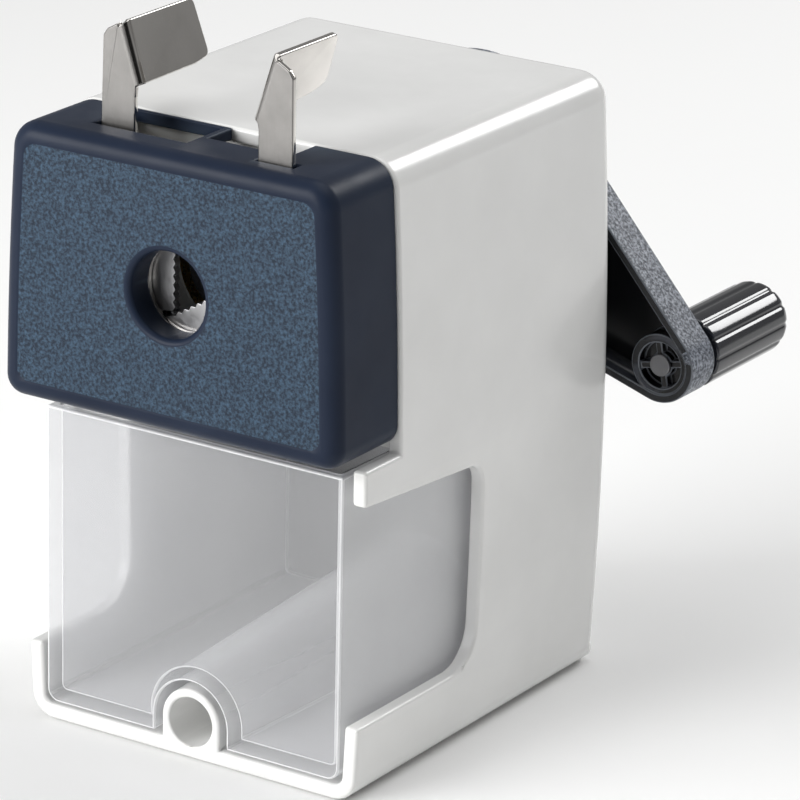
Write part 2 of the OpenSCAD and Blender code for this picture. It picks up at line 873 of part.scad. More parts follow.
module crank_arm() {
    recess_y = arm_y0 + 2.6;
    color([0.16, 0.18, 0.22])
        on_crank()
            difference() {
                union() {
                    difference() {
                        along_y(arm_y0, arm_y1)
                            arm_outline(0);
                        along_y(arm_y0 - 1, arm_y1 - arm_floor_t)
                            arm_outline(arm_rim_t);
                    }
                    rod_y(8, arm_y0 - 1.2, arm_y1 - 1, 0, 0);
                    rod_y(6.3, arm_y0 + 0.3, arm_y1 - 1, crank_throw, 0);
                    rod_y(4.4, arm_y1 - eps, collar_y, crank_throw, 0);
                }
                rod_y(shaft_r + 0.01, arm_y0 - 3, shaft_back_y + 0.05, 0, 0);
                rod_y(2.1, arm_y0, arm_y1 + 1, 0, 0);
                rod_y(pin_shank_r + 0.01, arm_y0, collar_y + 1, crank_throw, 0, 32);
                difference() {
                    tube_y(4.6, 2.4, arm_y0 - 1, recess_y, crank_throw, 0);
                    for (a = [0, 90])
                        translate([crank_throw, 0, 0])
                            rotate([0, a + 45, 0])
                                translate([-5, arm_y0 + 1, -0.7])
                                    cube([10, 5, 1.4]);
                }
                rod_y(2.4, arm_y0 - 1, arm_y0 + 1, crank_throw, 0, 32);
            }
}

module drive_shaft() {
    color("silver")
        difference() {
            rod_y(shaft_r, shaft_front_y, shaft_back_y);
            rod_y(1.96, shaft_back_y - 10, shaft_back_y + 1, fn = 32);
        }
}

module crank_screw() {
    head_t = 2.2;
    color("silver")
        difference() {
            union() {
                rod_y(1.94, shaft_back_y - 8, arm_y1 + eps, fn = 32);
                rod_y(4.2, arm_y1 + 0.01, arm_y1 + head_t);
            }
            for (a = [0, 90])
                translate([0, arm_y1 + head_t - 1.1, axis_z])
                    rotate([0, a, 0])
                        translate([-2.4, 0, -0.5])
                            cube([4.8, 3, 1]);
        }
}

module knob_pin() {
    color("silver")
        on_crank() {
            rod_y(pin_shank_r, arm_y0 + 1.6, pocket_y0 + 2.4, crank_throw, 0, 32);
            rod_y(2.2, arm_y0 + 0.2, arm_y0 + 0.99, crank_throw, 0, 32);
            rod_y(pin_shank_r, arm_y0 + 0.9, arm_y0 + 1.7, crank_throw, 0, 32);
        }
}

module knob_washer() {
    color([0.3, 0.3, 0.32])
        on_crank()
            tube_y(2.9, pin_shank_r, pocket_y0 + 0.5, pocket_y0 + 1.4, crank_throw, 0);
}

// Fluted grip with a rounded end, hollow for its pin and retaining washer.
module knob() {
    flutes = 12;
    round_r = 3.6;
    color([0.10, 0.11, 0.14])
        on_crank()
            translate([crank_throw, 0, 0])
                difference() {
                    translate([0, knob_y0, 0])
                        rotate([-90, 0, 0])
                            rotate_extrude()
                                difference() {
                                    round_rect(-knob_r, -10, knob_r, knob_len, round_r);
                                    translate([-far, -far])
                                        square([far, 2 * far]);
                                    translate([-far, -far])
                                        square([2 * far, far]);
                                }
                    for (i = [0:flutes - 1])
                        rod_y(1, knob_y0 - 1, knob_y1 + 1, (knob_r + 0.7) * cos(i * 360 / flutes),
                            (knob_r + 0.7) * sin(i * 360 / flutes), 24);
                    rod_y(pin_shank_r + 0.06, knob_y0 - 1, pocket_y0 + eps, 0, 0, 32);
                    rod_y(3.2, pocket_y0, pocket_y1, 0, 0, 32);
                }
}

// ---------- the nodes ----------

housing();
bulkhead();
bulkhead_screws();
front_bush();
ring_gear();
rear_bush();
drawer();
faceplate();
jaw_plate();
jaw_ring();
jaw_left();
jaw_upper();
jaw_lower();
jaw_pins();
chuck_cover();
chuck_spacers();
chuck_screws();
ring_spring();
guide_rod_left();
guide_rod_right();
rod_clips();
slide_spring_left();
slide_spring_right();
cutter_carrier();
cutter_axle();
cutter_drum();
cutter_pinion();
drive_shaft();
crank_arm();
crank_screw();
knob_pin();
knob();
knob_washer();
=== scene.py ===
import json
import math
from math import cos, pi, radians, sin

import bmesh
import bpy
from mathutils import Matrix, Vector


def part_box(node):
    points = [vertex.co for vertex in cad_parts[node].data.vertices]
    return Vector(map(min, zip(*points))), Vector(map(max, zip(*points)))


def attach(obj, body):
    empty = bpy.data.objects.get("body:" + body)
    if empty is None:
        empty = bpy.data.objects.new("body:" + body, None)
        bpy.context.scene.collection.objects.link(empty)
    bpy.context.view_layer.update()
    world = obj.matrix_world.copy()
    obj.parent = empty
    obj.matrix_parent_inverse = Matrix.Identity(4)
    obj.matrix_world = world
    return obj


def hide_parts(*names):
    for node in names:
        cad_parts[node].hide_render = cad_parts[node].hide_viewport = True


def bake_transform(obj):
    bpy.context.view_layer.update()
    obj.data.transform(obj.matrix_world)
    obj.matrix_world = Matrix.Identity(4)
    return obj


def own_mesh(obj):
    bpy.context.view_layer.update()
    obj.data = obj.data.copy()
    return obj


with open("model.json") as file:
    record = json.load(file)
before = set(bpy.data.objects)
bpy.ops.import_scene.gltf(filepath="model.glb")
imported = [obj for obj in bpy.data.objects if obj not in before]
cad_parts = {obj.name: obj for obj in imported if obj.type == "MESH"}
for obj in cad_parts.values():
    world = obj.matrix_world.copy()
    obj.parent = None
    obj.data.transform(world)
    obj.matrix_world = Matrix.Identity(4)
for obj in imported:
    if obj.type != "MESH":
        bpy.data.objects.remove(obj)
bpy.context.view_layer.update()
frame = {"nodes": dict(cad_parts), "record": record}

MM = 0.001


# ---------- placement read from the CAD ----------

def mm_box(node):
    """Lowest and highest corner of a CAD node, in millimetres."""
    low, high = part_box(node)
    return [v / MM for v in low], [v / MM for v in high]


house_low, house_high = mm_box("housing")
plate_low, plate_high = mm_box("faceplate")
arm_low, arm_high = mm_box("crank_arm")
knob_low, knob_high = mm_box("knob")
shaft_low, shaft_high = mm_box("drive_shaft")
socket = frame["record"]["mounts"][0]
behaviour = frame["record"]["behaviour"]
joints = {j["name"]: j for j in behaviour["joints"]}
BODY = {n: b for b, nodes in behaviour["bodies"].items() for n in nodes}

FRONT, BACK, TOP = house_low[1], house_high[1], house_high[2]
HALF = (house_high[0] - house_low[0]) / 2
AXIS_Z = (shaft_low[2] + shaft_high[2]) / 2
KNOB_X, _, KNOB_Z = [v / MM for v in joints["knob_spin"]["pos_m"]]
SOCKET_Z = socket["pos_m"][2] / MM
SOCKET_R = socket["dims"]["r_mm"]
STEP_Y = plate_high[1]

# ---------- sizes of the housing, in millimetres ----------

WALL = 3.0
SIDE_R = 914.0      # radius of the bowed sides
WIDEST = 54.0       # level at which the sides are furthest apart
STEP_Z = 65.1       # floor of the recess that takes the slide block
TUBE_R = 6.5        # outer radius of the clamp socket
TINY = 1e-4


# ---------- materials ----------

def node_at(tree, kind, x, y, **values):
    n = tree.nodes.new(kind)
    n.location = (x, y)
    for key, value in values.items():
        setattr(n, key, value)
    return n


def new_material(name):
    m = bpy.data.materials.new(name)
    m.use_nodes = True
    tree = m.node_tree
    tree.nodes.clear()
    out = node_at(tree, "ShaderNodeOutputMaterial", 600, 0)
    shader = node_at(tree, "ShaderNodeBsdfPrincipled", 300, 0)
    tree.links.new(shader.outputs[0], out.inputs[0])
    where = node_at(tree, "ShaderNodeTexCoord", -900, 0)
    return m, tree, shader, where.outputs["Object"]


# The part of a noise's range that its values spread over
NOISE = (0.3, 0.7)


def noise(tree, where, scale, detail=3.0, rough=0.5, stretch=None):
    n = node_at(tree, "ShaderNodeTexNoise", -600, 0)
    n.inputs["Scale"].default_value = scale
    n.inputs["Detail"].default_value = detail
    n.inputs["Roughness"].default_value = rough
    if stretch:
        m = node_at(tree, "ShaderNodeMapping", -750, 0)
        m.inputs["Scale"].default_value = stretch
        tree.links.new(where, m.inputs["Vector"])
        where = m.outputs[0]
    tree.links.new(where, n.inputs["Vector"])
    return n.outputs["Fac"]


def spread(tree, value, from_low, from_high, to_low, to_high):
    n = node_at(tree, "ShaderNodeMapRange", -400, 0)
    ends = {"From Min": from_low, "From Max": from_high, "To Min": to_low, "To Max": to_high}
    for key, end in ends.items():
        n.inputs[key].default_value = end
    tree.links.new(value, n.inputs["Value"])
    return n.outputs[0]


def blend_colours(tree, factor, low, high):
    n = node_at(tree, "ShaderNodeMix", -200, 0, data_type="RGBA")
    tree.links.new(factor, n.inputs[0])
    for socket, colour in ((n.inputs[6], low), (n.inputs[7], high)):
        if isinstance(colour, tuple):
            socket.default_value = (*colour, 1.0)
        else:
            tree.links.new(colour, socket)
    return n.outputs[2]


def cloudy(tree, factor, low, high):
    """A colour that drifts between two with a noise."""
    return blend_colours(tree, spread(tree, factor, *NOISE, 0.0, 1.0), low, high)


def bump(tree, shader, height, strength, distance, base=None):
    n = node_at(tree, "ShaderNodeBump", 0, -300)
    n.inputs["Strength"].default_value = strength
    n.inputs["Distance"].default_value = distance
    tree.links.new(height, n.inputs["Height"])
    if base is not None:
        tree.links.new(base, n.inputs["Normal"])
    tree.links.new(n.outputs[0], shader.inputs["Normal"])
    return n.outputs[0]


def worn_edges(tree, colour, worn, low=0.52, high=0.60):
    """Mixes a worn colour in where the surface is sharply convex."""
    shape = node_at(tree, "ShaderNodeNewGeometry", -600, 300)
    edge = spread(tree, shape.outputs["Pointiness"], low, high, 0.0, 1.0)
    return blend_colours(tree, edge, colour, worn)


def moulded(name, low, high, rough, speckle, worn=None, coat=0.0, shine=0.5):
    """Moulded plastic: faint flow marks, a fine surface grain and slightly scuffed edges."""
    m, tree, shader, where = new_material(name)
    colour = cloudy(tree, noise(tree, where, 45.0, 4.0), low, high)
    if worn:
        colour = worn_edges(tree, colour, worn)
    tree.links.new(colour, shader.inputs["Base Color"])
    patches = noise(tree, where, 120.0, 5.0, 0.6)
    tree.links.new(spread(tree, patches, *NOISE, *rough), shader.inputs["Roughness"])
    bump(tree, shader, noise(tree, where, 1500.0, 2.0), 0.35, speckle)
    shader.inputs["Coat Weight"].default_value = coat
    shader.inputs["Coat Roughness"].default_value = 0.12
    shader.inputs["Specular IOR Level"].default_value = shine
    return m


def sparkling(name, deep, light, scale, rough, distance):
    """Spark-eroded texture: bright and dark grains with a matching fine bump."""
    m, tree, shader, where = new_material(name)
    grains = node_at(tree, "ShaderNodeTexVoronoi", -600, 200)
    grains.inputs["Scale"].default_value = scale
    tree.links.new(where, grains.inputs["Vector"])
    fine = noise(tree, where, scale * 0.8, 4.0, 0.7)
    flecks = spread(tree, fine, 0.42, 0.66, 0.0, 1.0)
    colour = blend_colours(tree, flecks, deep, light)
    colour = worn_edges(tree, colour, tuple(min(1.0, c * 1.4) for c in light), 0.54, 0.64)
    tree.links.new(colour, shader.inputs["Base Color"])
    roughness = spread(tree, fine, *NOISE, rough + 0.12, rough - 0.12)
    tree.links.new(roughness, shader.inputs["Roughness"])
    first = bump(tree, shader, grains.outputs["Distance"], 0.7, distance)
    bump(tree, shader, fine, 0.7, distance, first)
    shader.inputs["Specular IOR Level"].default_value = 0.3
    return m


def metal(name, low, high, rough, stretch=(1.0, 1.0, 1.0), scale=900.0, depth=0.000004, worn=None):
    """Bare or plated metal with directional polish marks and cloudy patches."""
    m, tree, shader, where = new_material(name)
    colour = cloudy(tree, noise(tree, where, 160.0, 4.0), low, high)
    if worn:
        colour = worn_edges(tree, colour, worn)
    tree.links.new(colour, shader.inputs["Base Color"])
    shader.inputs["Metallic"].default_value = 1.0
    marks = noise(tree, where, scale, 3.0, 0.6, stretch)
    tree.links.new(spread(tree, marks, *NOISE, *rough), shader.inputs["Roughness"])
    bump(tree, shader, marks, 0.25, depth)
    return m


def clear(name, face_on, edge_on):
    """Clear moulded plastic: lets light straight through, greyer and shinier towards its edges."""
    m, tree, shader, where = new_material(name)
    haze = noise(tree, where, 70.0, 4.0)
    colour = cloudy(tree, haze, (0.90, 0.905, 0.92), (0.95, 0.955, 0.965))
    tree.links.new(colour, shader.inputs["Base Color"])
    tree.links.new(spread(tree, haze, 0.35, 0.7, 0.04, 0.12), shader.inputs["Roughness"])
    bump(tree, shader, noise(tree, where, 60.0, 3.0), 0.15, 0.00004)
    glance = node_at(tree, "ShaderNodeLayerWeight", 0, 400)
    glance.inputs["Blend"].default_value = 0.5
    cover = spread(tree, glance.outputs["Facing"], 0.2, 0.64, face_on, edge_on)
    through = node_at(tree, "ShaderNodeBsdfTransparent", 300, 300)
    through.inputs[0].default_value = (0.985, 0.985, 0.99, 1.0)
    mix = node_at(tree, "ShaderNodeMixShader", 450, 100)
    out = next(n for n in tree.nodes if n.type == "OUTPUT_MATERIAL")
    tree.links.new(cover, mix.inputs[0])
    tree.links.new(through.outputs[0], mix.inputs[1])
    tree.links.new(shader.outputs[0], mix.inputs[2])
    tree.links.new(mix.outputs[0], out.inputs[0])
    return m


HOUSING = moulded("housing_plastic", (0.785, 0.785, 0.775), (0.845, 0.845, 0.835),
                  (0.16, 0.26), 0.000003, (0.90, 0.90, 0.87), coat=0.15)
INNER = moulded("inner_plastic", (0.70, 0.70, 0.68), (0.76, 0.76, 0.74), (0.35, 0.5), 0.000005)
NAVY = moulded("navy_smooth", (0.011, 0.017, 0.034), (0.017, 0.025, 0.046),
               (0.34, 0.44), 0.000003, (0.040, 0.054, 0.080), shine=0.12)
NAVY_GRAIN = sparkling("navy_sparkle", (0.004, 0.013, 0.029), (0.042, 0.085, 0.138),
                       2000.0, 0.5, 0.00003)
CRANK = sparkling("crank_grain", (0.050, 0.058, 0.075), (0.38, 0.41, 0.47), 2000.0, 0.4, 0.00003)
CRANK_GLOSS = moulded("crank_gloss", (0.003, 0.003, 0.004), (0.006, 0.006, 0.008),
                      (0.16, 0.28), 0.000004, (0.05, 0.055, 0.07))
CRANK_EDGE = moulded("crank_edge", (0.10, 0.11, 0.13), (0.16, 0.175, 0.20),
                     (0.20, 0.32), 0.000004, (0.20, 0.22, 0.25))
KNOB = moulded("knob_plastic", (0.006, 0.007, 0.011), (0.011, 0.012, 0.017),
               (0.07, 0.15), 0.000002, (0.04, 0.045, 0.06), coat=0.3)
CLEAR = clear("clear_plastic", 0.13, 0.62)
# The drawer's rounded edges: a whiter, more opaque copy of the clear plastic, a painted highlight in
# place of the bright edges that refraction gives
CLEAR_PAINTED_HIGHLIGHT = clear("clear_edge_painted_highlight", 0.70, 0.95)
LEVER = metal("lever_nickel", (0.40, 0.385, 0.365), (0.46, 0.44, 0.42), (0.06, 0.13),
              (1.0, 1.0, 0.08), 2500.0, 0.000003, (0.86, 0.84, 0.80))
# Front faces of the lever strips: the same metal as the pads, rougher, with a darker colour that is
# painted shade
LEVER_PAINTED_SHADE = metal("lever_front_painted_shade", (0.22, 0.213, 0.205), (0.27, 0.262, 0.253), (0.32, 0.45),
                    (1.0, 1.0, 0.08), 2500.0, 0.000003)
SHEET = metal("sheet_steel", (0.22, 0.235, 0.25), (0.28, 0.295, 0.31), (0.25, 0.42),
              (0.1, 1.0, 1.0))
JAW = metal("jaw_steel", (0.36, 0.36, 0.365), (0.46, 0.46, 0.47), (0.28, 0.45),
            worn=(0.42, 0.42, 0.43))
PIN = metal("ground_steel", (0.62, 0.62, 0.63), (0.72, 0.72, 0.73), (0.12, 0.26),
            (1.0, 0.1, 1.0), 1800.0)
SCREW = metal("zinc_screw", (0.66, 0.67, 0.69), (0.76, 0.76, 0.77), (0.18, 0.34))
SPRING = metal("spring_wire", (0.52, 0.52, 0.53), (0.64, 0.64, 0.65), (0.18, 0.32))
CLIP = metal("black_clip", (0.10, 0.10, 0.11), (0.16, 0.16, 0.17), (0.3, 0.5), worn=(0.4, 0.4, 0.41))
GEAR = metal("gear_steel", (0.42, 0.42, 0.44), (0.54, 0.54, 0.56), (0.22, 0.40))
CUTTER = metal("cutter_steel", (0.26, 0.27, 0.29), (0.36, 0.37, 0.39), (0.14, 0.30),
               worn=(0.75, 0.76, 0.78))
CAST = metal("cast_alloy", (0.52, 0.52, 0.53), (0.64, 0.64, 0.65), (0.32, 0.55),
             scale=500.0, depth=0.00002)
BRASS = metal("bush_brass", (0.60, 0.42, 0.16), (0.74, 0.54, 0.24), (0.2, 0.38))


# ---------- mesh helpers, in millimetres ----------

def place(name, bm, materials, body, stands_for):
    """Turns a mesh drawn in millimetres into a piece that rides on a body."""
    bm.transform(Matrix.Scale(MM, 4))
    bmesh.ops.recalc_face_normals(bm, faces=bm.faces)
    for f in bm.faces:
        f.smooth = True
    mesh = bpy.data.meshes.new(name)
    bm.to_mesh(mesh)
    bm.free()
    for m in materials:
        mesh.materials.append(m)
    obj = bpy.data.objects.new(name, mesh)
    bpy.context.scene.collection.objects.link(obj)
    if body:
        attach(obj, body)
    if stands_for:
        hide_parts(*stands_for)
    return obj


def soften(obj, width, segments=3, angle=30, miter="MITER_ARC"):
    """Rounds the sharp edges and evens the shading."""
    b = obj.modifiers.new("edges", "BEVEL")
    b.width = width * MM
    b.segments = segments
    b.limit_method = "ANGLE"
    b.angle_limit = radians(angle)
    b.use_clamp_overlap = False
    b.miter_outer = miter
    even_normals(obj)


def soften_chosen(obj, width, wanted):
    """Rounds only the sharp edges whose two ends are wanted, placed in millimetres."""
    bm = bmesh.new()
    bm.from_mesh(obj.data)
    chosen = [e.index for e in bm.edges
              if e.is_manifold and radians(50) < e.calc_face_angle() < radians(150)
              and all(wanted(v.co / MM) for v in e.verts)]
    bm.free()
    weights = obj.data.attributes.new("bevel_weight_edge", "FLOAT", "EDGE")
    for i in chosen:
        weights.data[i].value = 1.0
    soften(obj, width, 3, 30, "MITER_SHARP")
    obj.modifiers["edges"].limit_method = "WEIGHT"


def even_normals(obj):
    """Evens the shading across flat faces and their rounded edges."""
    w = obj.modifiers.new("normals", "WEIGHTED_NORMAL")
    w.keep_sharp = True
    w.weight = 50


def settle(obj):
    """Replaces a mesh by what its modifiers make of it."""
    graph = bpy.context.evaluated_depsgraph_get()
    mesh = bpy.data.meshes.new_from_object(obj.evaluated_get(graph), depsgraph=graph)
    obj.modifiers.clear()
    obj.data = mesh


def thicken(obj, wall):
    """Gives an open sheet its wall, inward from the drawn face."""
    m = obj.modifiers.new("wall", "SOLIDIFY")
    m.thickness = wall * MM
    m.offset = -1.0
    m.use_even_offset = True
    settle(obj)


def combine(obj, tool, kind):
    """Joins a closed mesh to an object or cuts it away, and removes the tool."""
    b = obj.modifiers.new("combine", "BOOLEAN")
    b.operation = kind
    b.solver = "EXACT"
    b.object = tool
    settle(obj)
    bpy.data.objects.remove(tool)


def from_cad(node):
    """A CAD node's mesh in millimetres, welded, with its flat faces joined up."""
    bm = bmesh.new()
    bm.from_mesh(frame["nodes"][node].data)
    bm.transform(frame["nodes"][node].matrix_world)
    bm.transform(Matrix.Scale(1 / MM, 4))
    bmesh.ops.remove_doubles(bm, verts=bm.verts, dist=0.002)
    bmesh.ops.dissolve_limit(bm, angle_limit=radians(0.4), verts=bm.verts, edges=bm.edges)
    return bm


def quarter(count):
    """Angles of a quarter turn, both ends included."""
    return [pi / 2 * i / count for i in range(count + 1)]


def circle_points(r, y, count, z, start=0.0):
    turns = [start + 2 * pi * i / count for i in range(count)]
    return [(r * cos(a), y, z + r * sin(a)) for a in turns]


def add_loop(bm, points):
    return [bm.verts.new(p) for p in points]


def join_loops(bm, a, b, material=0):
    n = len(a)
    for i in range(n):
        f = bm.faces.new((a[i], a[(i + 1) % n], b[(i + 1) % n], b[i]))
        f.material_index = material


def loft(bm, loops):
    """Skins a run of equal loops and closes both ends."""
    rows = [add_loop(bm, points) for points in loops]
    for a, b in zip(rows, rows[1:]):
        join_loops(bm, a, b)
    bm.faces.new(rows[0][::-1])
    bm.faces.new(rows[-1])


def fill_between(bm, outer, inner, material=0):
    """Fills the flat face between two loops of vertices."""
    edges = []
    for loop in (outer, inner):
        for i, v in enumerate(loop):
            w = loop[(i + 1) % len(loop)]
            edges.append(bm.edges.get((v, w)) or bm.edges.new((v, w)))
    made = bmesh.ops.triangle_fill(bm, use_beauty=True, use_dissolve=False, edges=edges)
    for f in made["geom"]:
        if isinstance(f, bmesh.types.BMFace):
            f.material_index = material


class Outline:
    """Closed outline with bowed sides, from the middle of its base to the right, round and back.

    Each part of its right half ends with its length and the number of pieces it is cut into.
    """

    def __init__(self, z0, z1, inset, r_low, r_high):
        bx, rs = HALF - SIDE_R, SIDE_R - inset
        zl, zh = z0 + r_low, z1 - r_high
        xl = bx + math.sqrt((rs - r_low) ** 2 - (zl - WIDEST) ** 2)
        xh = bx + math.sqrt((rs - r_high) ** 2 - (zh - WIDEST) ** 2)
        al, ah = math.atan2(zl - WIDEST, xl - bx), math.atan2(zh - WIDEST, xh - bx)
        self.parts = [("line", (0.0, z0), (xl, z0), (0.0, -1.0), xl, 4),
                      ("arc", (xl, zl), r_low, (-pi / 2, al), r_low * (al + pi / 2), 10),
                      ("arc", (bx, WIDEST), rs, (al, ah), rs * (ah - al), 10),
                      ("arc", (xh, zh), r_high, (ah, pi / 2), r_high * (pi / 2 - ah), 10),
                      ("line", (xh, z1), (0.0, z1), (0.0, 1.0), xh, 4)]
        self.half = sum(p[-2] for p in self.parts)
        self.length = 2 * self.half
        self.side = (bx, rs, al, sum(p[-2] for p in self.parts[:2]))

    def at(self, s):
        """Place and outward direction at length s along the outline."""
        s = s % self.length
        mirrored = s > self.half
        if mirrored:
            s = self.length - s
        for p in self.parts:
            if s <= p[-2] + 1e-9 or p is self.parts[-1]:
                break
            s -= p[-2]
        t = min(1.0, s / p[-2])
        if p[0] == "line":
            x = p[1][0] + (p[2][0] - p[1][0]) * t
            z = p[1][1]
            nx, nz = p[3]
        else:
            a = p[3][0] + (p[3][1] - p[3][0]) * t
            nx, nz = cos(a), sin(a)
            x, z = p[1][0] + p[2] * nx, p[1][1] + p[2] * nz
        return (-x, z, -nx, nz) if mirrored else (x, z, nx, nz)

    def breaks(self):
        """Lengths at which the outline is cut for an even mesh."""
        found, s = [0.0], 0.0
        for p in self.parts:
            found += [s + p[-2] * (i + 1) / p[-1] for i in range(p[-1])]
            s += p[-2]
        return found + [self.length - b for b in reversed(found[:-1])][:-1]

    def side_at(self, z, left=False):
        """Length at which the bowed side is at level z."""
        bx, rs, al, start = self.side
        s = start + rs * (math.asin((z - WIDEST) / rs) - al)
        return self.length - s if left else s

    def ring(self, y, inset=0.0):
        """The whole outline at depth y, moved inward by inset."""
        points = []
        for s in self.breaks():
            x, z, nx, nz = self.at(s)
            points.append((x - nx * inset, y, z - nz * inset))
        return points


def draw_flat(bm, outline, border):
    """Draws a border of (length, y) points as a flat sheet, cut where it will bend."""
    bm.faces.new([bm.verts.new((s, y, 0.0)) for s, y in border])
    for s in outline.breaks()[1:]:
        cut_at(bm, s)


def cut_at(bm, x):
    """Cuts every face that crosses the plane at x."""
    geom = bm.verts[:] + bm.edges[:] + bm.faces[:]
    bmesh.ops.bisect_plane(bm, geom=geom, dist=TINY, plane_co=(x, 0, 0), plane_no=(1, 0, 0))


def fold_round(bm, outline, edge_y):
    """Wraps the flat sheet round its outline; gives its edge at edge_y and the lengths along it."""
    edge = [v for v in bm.verts if abs(v.co.y - edge_y) < TINY]
    edge.sort(key=lambda v: v.co.x)
    lengths = [v.co.x for v in edge][:-1]
    for v in bm.verts:
        x, z, _, _ = outline.at(v.co.x)
        v.co = Vector((x, v.co.y, z))
    return edge[:-1], lengths


def filleted(corners, count=5):
    """Polygon with each (x, y, radius) corner rounded."""
    points = []
    for i, (x, y, r) in enumerate(corners):
        here = Vector((x, y))
        before = Vector(corners[i - 1][:2]) - here
        after = Vector(corners[(i + 1) % len(corners)][:2]) - here
        half = before.angle(after) / 2
        reach = min(r / math.tan(half), before.length * 0.49, after.length * 0.49) if r else 0.0
        if reach < 0.02:
            points.append((x, y))
            continue
        a, b = before.normalized() * reach, after.normalized() * reach
        for k in range(count + 1):
            t = k / count
            p = here + a * (1 - t) ** 2 + b * t ** 2
            points.append((p.x, p.y))
    return points


# ---------- housing ----------

def side_window(o, left):
    """Edge of a side window on the flat sheet, in the order in which the border runs."""
    depth, r_low = (29.0, 9.0) if left else (39.6, 7.5)
    r_high = 4.5
    low, back_top, front_top = 15.0, 55.6, 58.2
    y_low, y_high = FRONT + depth - r_low, FRONT + depth - r_high
    points = [(o.side_at(low), FRONT)]
    points += [(o.side_at(low + r_low - r_low * cos(a)), y_low + r_low * sin(a)) for a in quarter(10)]
    points += [(o.side_at(back_top - r_high + r_high * sin(a)), y_high + r_high * cos(a))
               for a in quarter(8)]
    points += [(o.side_at(front_top), FRONT)]
    return [(o.length - s, y) for s, y in reversed(points)] if left else points


def round_back(bm, o, rear, lengths, back_r):
    """Rolls the walls over into the back face, with a smaller radius along the base."""
    base_r = 1.0
    turn_from, turn_over = 0.2, 0.6
    rows = [rear]
    for a in quarter(8)[1:]:
        points = []
        for s in lengths:
            x, z, nx, nz = o.at(s)
            downward = max(0.0, min(1.0, (-nz - turn_from) / turn_over))
            r = back_r + (base_r - back_r) * downward
            inward = r * (1 - cos(a))
            points.append((x - nx * inward, BACK - r + r * sin(a), z - nz * inward))
        rows.append(add_loop(bm, points))
    for a, b in zip(rows, rows[1:]):
        join_loops(bm, a, b)
    return rows[-1]


def housing_shell():
    o = Outline(0.0, TOP, 0.0, 5.0, 6.0)
    back_r = 4.5
    left_top = 57.6     # the left window runs out here, under the recess
    inner_back = BACK - 7
    collar_r, hole_r = 9.0, 6.6
    border = [(0.0, FRONT)] + side_window(o, False)
    border += [(o.side_at(STEP_Z), FRONT), (o.side_at(STEP_Z), STEP_Y)]
    border += [(o.side_at(STEP_Z, True), STEP_Y), (o.side_at(left_top, True), STEP_Y)]
    border += side_window(o, True)[1:]
    border += [(o.length, FRONT), (o.length, BACK - back_r), (0.0, BACK - back_r)]
    bm = bmesh.new()
    draw_flat(bm, o, border)
    rear, lengths = fold_round(bm, o, BACK - back_r)
    rim = round_back(bm, o, rear, lengths, back_r)
    collar = add_loop(bm, circle_points(collar_r, BACK, 48, AXIS_Z))
    hole = add_loop(bm, circle_points(hole_r, BACK, 48, AXIS_Z))
    join_loops(bm, collar, hole)
    fill_between(bm, rim, collar)
    bmesh.ops.remove_doubles(bm, verts=bm.verts, dist=0.01)
    shell = place("housing", bm, [HOUSING], "frame", ["housing"])
    thicken(shell, WALL)
    soften_chosen(shell, 0.75, lambda v: v.y < inner_back)
    settle(shell)
    return shell


def socket_channel():
    """The clamp socket with the hump behind it that widens towards the back, and its bore."""
    count, start = 64, -pi / 2
    base = SOCKET_Z - 1.2       # how far down the channel reaches, into the floor of the shell
    bore_len, mouth_r, rim_r = 36.0, 0.4, 0.6
    run_from, run_to, growth, steps = FRONT + 2, BACK - 7, 4.7, 8

    def channel(r, y):
        points = []
        for i in range(count):
            a = 2 * pi * i / count + start
            c, d = cos(a), sin(a)
            reach = r if d > 0 else min(r / max(abs(c), 1e-6), base / max(-d, 1e-6))
            points.append((reach * c, y, SOCKET_Z + reach * d))
        return points

    def bore(r, y):
        return circle_points(r, y, count, SOCKET_Z, start)

    rows = [bore(SOCKET_R, FRONT + bore_len)]
    rows += [bore(SOCKET_R + mouth_r * (1 - cos(a)), FRONT + mouth_r * (1 - sin(a))) for a in quarter(4)]
    rows += [channel(TUBE_R - rim_r * (1 - sin(a)), FRONT + rim_r * (1 - cos(a))) for a in quarter(4)]
    rows += [channel(TUBE_R + growth * t / steps, run_from + (run_to - run_from) * t / steps)
             for t in range(steps + 1)]
    bm = bmesh.new()
    loft(bm, rows)
    hump = place("channel", bm, [HOUSING], None, None)
    bm = bmesh.new()
    loft(bm, [bore(SOCKET_R + 0.1, y) for y in (FRONT - 1, FRONT + bore_len - 0.5)])
    drill = place("drill", bm, [HOUSING], None, None)
    return hump, drill


def housing():
    shell = housing_shell()
    hump, drill = socket_channel()
    combine(shell, drill, "DIFFERENCE")
    combine(shell, hump, "UNION")
    even_normals(shell)


# ---------- front slide block ----------

def pencil_hole(bm, face_y):
    """Loops of the pencil hole, from the grained ring inward over its rounded mouth."""
    hole_r, mouth_r, ring_r, end_y = 8.2, 1.2, 11.0, -45.2
    sizes = [(ring_r, face_y)]
    sizes += [(hole_r + mouth_r * (1 - sin(a)), face_y + mouth_r * (1 - cos(a))) for a in quarter(5)]
    sizes += [(hole_r, end_y)]
    loops = [add_loop(bm, circle_points(r, y, 72, AXIS_Z)) for r, y in sizes]
    for i, (a, b) in enumerate(zip(loops, loops[1:])):
        join_loops(bm, a, b, 1 if i == 0 else 0)
    return loops[0]


